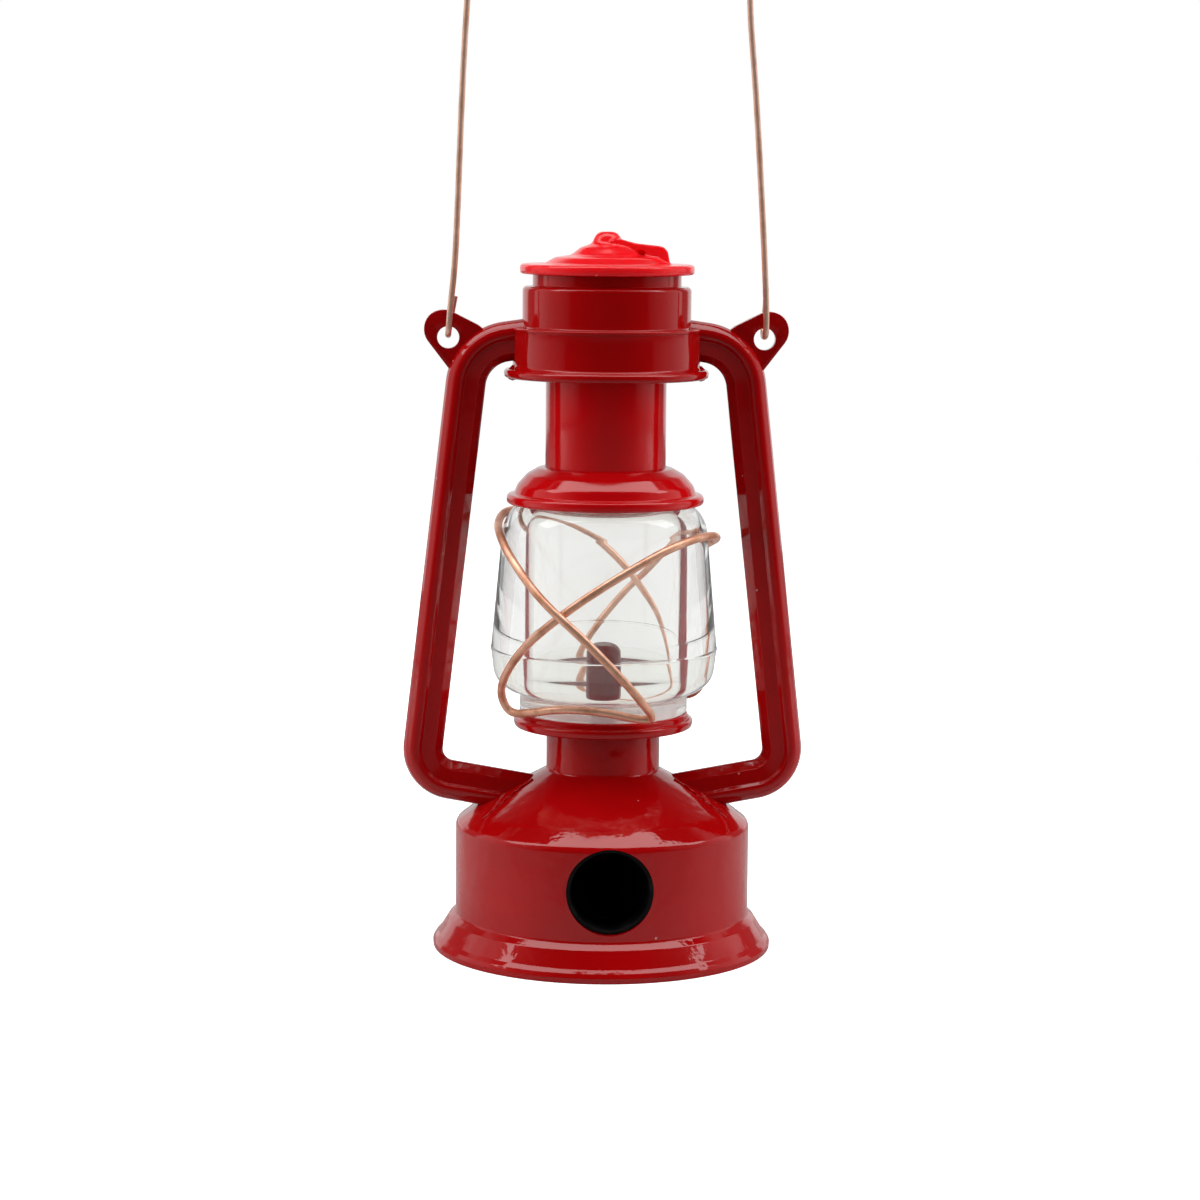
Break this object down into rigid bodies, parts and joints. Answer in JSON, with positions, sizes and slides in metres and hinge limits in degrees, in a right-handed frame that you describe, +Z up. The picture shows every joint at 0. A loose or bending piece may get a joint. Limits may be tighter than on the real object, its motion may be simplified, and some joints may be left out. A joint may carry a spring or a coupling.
{
  "type": "oil lamp",
  "caption": "Miniature red hurricane lantern with a thick clear globe, a copper wire guard, a wire bail and a pencil sharpener in its base.",
  "frame": {"origin": "centre of the foot's underside, on the surface that the lantern stands on", "axes": "+Z up through the chimney and the bail, -Y out of the pencil hole in front, X from side tube to side tube"},
  "size_m": [0.0426, 0.0362, 0.1155],
  "materials": {
    "red_enamel": "thick glossy red enamel",
    "red_plastic": "glossy moulded red",
    "cap_red": "glossy moulded bright red",
    "dark_red": "dark red enamel",
    "clear_acrylic": "clear, polished, with a moulding line",
    "copper_wire": "bare copper, slightly tarnished",
    "bail_wire": "bare pale copper",
    "black_plastic": "moulded, satin",
    "blade_steel": "ground and hardened",
    "screw_steel": "zinc plated"
  },
  "bodies": {
    "lantern": {"base_shell": "red_enamel", "gallery_plate": "red_enamel", "collar": "red_enamel", "left_side_tube": "red_enamel", "right_side_tube": "red_enamel", "burner_post": "dark_red", "chimney_tube": "red_plastic", "globe_hood": "red_plastic", "chimney_cap": "cap_red", "globe": "clear_acrylic", "globe_guard": "copper_wire", "sharpener_block": "black_plastic", "bottom_plate": "black_plastic", "sharpener_blade": "blade_steel", "blade_screw": "screw_steel", "post_screw": "screw_steel"},
    "bail": {"bail": "bail_wire"}
  },
  "joints": [
    {"name": "bail_swing", "type": "hinge", "parent": "lantern", "child": "bail", "pos_m": [0, 0, 0.0654], "axis": [1, 0, 0], "range_deg": [-15, 15]}
  ]
}
